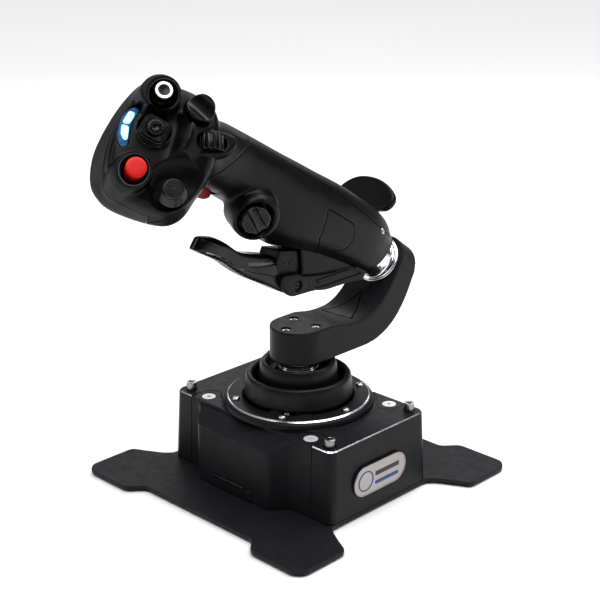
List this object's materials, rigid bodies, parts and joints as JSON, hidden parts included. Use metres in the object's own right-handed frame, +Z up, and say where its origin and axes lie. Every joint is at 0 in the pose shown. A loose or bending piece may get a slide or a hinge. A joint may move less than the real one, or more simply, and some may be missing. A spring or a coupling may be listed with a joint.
{
  "type": "flight joystick",
  "caption": "Desk-mounted two-axis flight joystick: gimbal base on a four-legged plate, rubber boot, cranked offset arm, and a tilted grip with hats, buttons, trigger and brake lever.",
  "frame": {"origin": "on the desk under the gimbal's vertical axis, at the underside of the anti-slip mat", "axes": "+Z up, +Y the way the grip's head points (away from the user), +X to the user's right"},
  "size_m": [0.2044, 0.2621, 0.2922],
  "materials": {
    "anti_slip_rubber": "matt",
    "powder_coated_steel": "fine texture",
    "powder_coated_alloy": "fine texture",
    "badge_metal": "brushed",
    "moulded_black_plastic": "fine grain",
    "boot_rubber": "matt",
    "black_oxide_steel": "black oxide",
    "zinc_steel": "bright zinc",
    "bright_steel": "ground",
    "machined_aluminium": "machined",
    "chrome_plate": "polished",
    "gloss_black_plastic": "satin gloss",
    "red_plastic": "satin",
    "white_light": "lit diffuser",
    "cyan_light": "lit diffuser",
    "circuit_board_green": "solder mask"
  },
  "bodies": {
    "base": {"anti_slip_mat": "anti_slip_rubber", "desk_plate": "powder_coated_steel", "base_casting": "powder_coated_alloy", "end_panel_left": "powder_coated_alloy", "end_panel_right": "powder_coated_alloy", "badge_plate": "badge_metal", "port_cover": "moulded_black_plastic", "boot_flange": "powder_coated_alloy", "cap_screw_1": "black_oxide_steel", "cap_screw_2": "black_oxide_steel", "cap_screw_3": "black_oxide_steel", "cap_screw_4": "black_oxide_steel", "flat_screw_1": "zinc_steel", "flat_screw_2": "zinc_steel", "flat_screw_3": "zinc_steel", "flat_screw_4": "zinc_steel", "circuit_board": "circuit_board_green", "usb_socket": "bright_steel", "gimbal_frame": "powder_coated_steel", "bearing_rear": "bright_steel", "bearing_front": "bright_steel", "boot_outer": "boot_rubber", "roll_spring_left": "bright_steel", "roll_spring_right": "bright_steel"},
    "yoke": {"gimbal_yoke": "machined_aluminium", "pitch_axle": "bright_steel"},
    "stick": {"stick_shaft": "bright_steel", "base_collar": "chrome_plate", "boot_inner": "boot_rubber", "offset_arm": "powder_coated_alloy", "arm_screw_1": "zinc_steel", "arm_screw_2": "zinc_steel", "arm_screw_3": "zinc_steel", "grip_collar": "chrome_plate", "grip_body_left": "moulded_black_plastic", "grip_body_right": "moulded_black_plastic", "spine_cover": "moulded_black_plastic", "spine_screw": "badge_metal", "access_panel": "moulded_black_plastic", "lever_bracket": "moulded_black_plastic", "lever_pin": "black_oxide_steel", "head_front": "moulded_black_plastic", "head_rear": "moulded_black_plastic", "light_lens_upper": "cyan_light", "light_lens_lower": "cyan_light"},
    "brake_lever": {"brake_lever": "gloss_black_plastic"},
    "trigger": {"trigger": "red_plastic"},
    "hand_rest": {"hand_rest": "moulded_black_plastic"},
    "side_hat": {"side_hat": "moulded_black_plastic"},
    "mini_stick": {"mini_stick": "gloss_black_plastic"},
    "lower_hat": {"lower_hat": "moulded_black_plastic"},
    "upper_hat": {"upper_hat": "moulded_black_plastic"},
    "red_button": {"red_button": "red_plastic"},
    "ring_button": {"ring_button": "moulded_black_plastic", "light_ring": "white_light"},
    "roller_wheel": {"roller_wheel": "gloss_black_plastic"}
  },
  "joints": [
    {"name": "stick_roll", "type": "hinge", "parent": "base", "child": "yoke", "pos_m": [0, 0, 0.033], "axis": [0, 1, 0], "range_deg": [-18, 18], "stiffness_Nm_per_rad": 10, "deforming": ["roll_spring_left", "roll_spring_right", "boot_outer", "boot_inner"]},
    {"name": "stick_pitch", "type": "hinge", "parent": "yoke", "child": "stick", "pos_m": [0, 0, 0.033], "axis": [1, 0, 0], "range_deg": [-18, 18], "stiffness_Nm_per_rad": 10},
    {"name": "brake_lever_pull", "type": "hinge", "parent": "stick", "child": "brake_lever", "pos_m": [0, 0.01326, 0.1421], "axis": [1, 0, 0], "range_deg": [0, 9], "stiffness_Nm_per_rad": 0.6, "springref_deg": -14.32},
    {"name": "trigger_pull", "type": "hinge", "parent": "stick", "child": "trigger", "pos_m": [0, 0.09291, 0.23671], "axis": [-1, 0, 0], "range_deg": [0, 7], "stiffness_Nm_per_rad": 0.12, "springref_deg": -11.46},
    {"name": "hand_rest_slide", "type": "slide", "parent": "stick", "child": "hand_rest", "axis": [0, 0.8059, 0.592], "range_m": [0, 0.008]},
    {"name": "side_hat_tilt", "type": "hinge", "parent": "stick", "child": "side_hat", "pos_m": [-0.0205, 0.05974, 0.19994], "axis": [0.4307, 0.5343, -0.7273], "range_deg": [-7, 7], "stiffness_Nm_per_rad": 0.08},
    {"name": "mini_stick_tilt", "type": "hinge", "parent": "stick", "child": "mini_stick", "pos_m": [-0.00668, 0.12415, 0.26089], "axis": [-0.6463, -0.6669, -0.3708], "range_deg": [-9, 9], "stiffness_Nm_per_rad": 0.06},
    {"name": "lower_hat_tilt", "type": "hinge", "parent": "stick", "child": "lower_hat", "pos_m": [-0.02703, 0.12995, 0.2293], "axis": [-0.6463, -0.6669, -0.3708], "range_deg": [-7, 7], "stiffness_Nm_per_rad": 0.08},
    {"name": "upper_hat_tilt", "type": "hinge", "parent": "stick", "child": "upper_hat", "pos_m": [-0.01562, 0.09791, 0.26838], "axis": [-0.6463, -0.6669, -0.3708], "range_deg": [-7, 7], "stiffness_Nm_per_rad": 0.08},
    {"name": "red_button_press", "type": "slide", "parent": "stick", "child": "red_button", "axis": [0.7325, -0.4059, -0.5465], "range_m": [0, 0.0015], "stiffness_N_per_m": 900, "springref_m": -0.0006},
    {"name": "ring_button_press", "type": "slide", "parent": "stick", "child": "ring_button", "axis": [0.7325, -0.4059, -0.5465], "range_m": [0, 0.0012], "stiffness_N_per_m": 900, "springref_m": -0.0006},
    {"name": "roller_spin", "type": "hinge", "parent": "stick", "child": "roller_wheel", "pos_m": [-0.02934, 0.10086, 0.2533], "axis": [0.3935, -0.4025, 0.8265], "continuous": true}
  ]
}
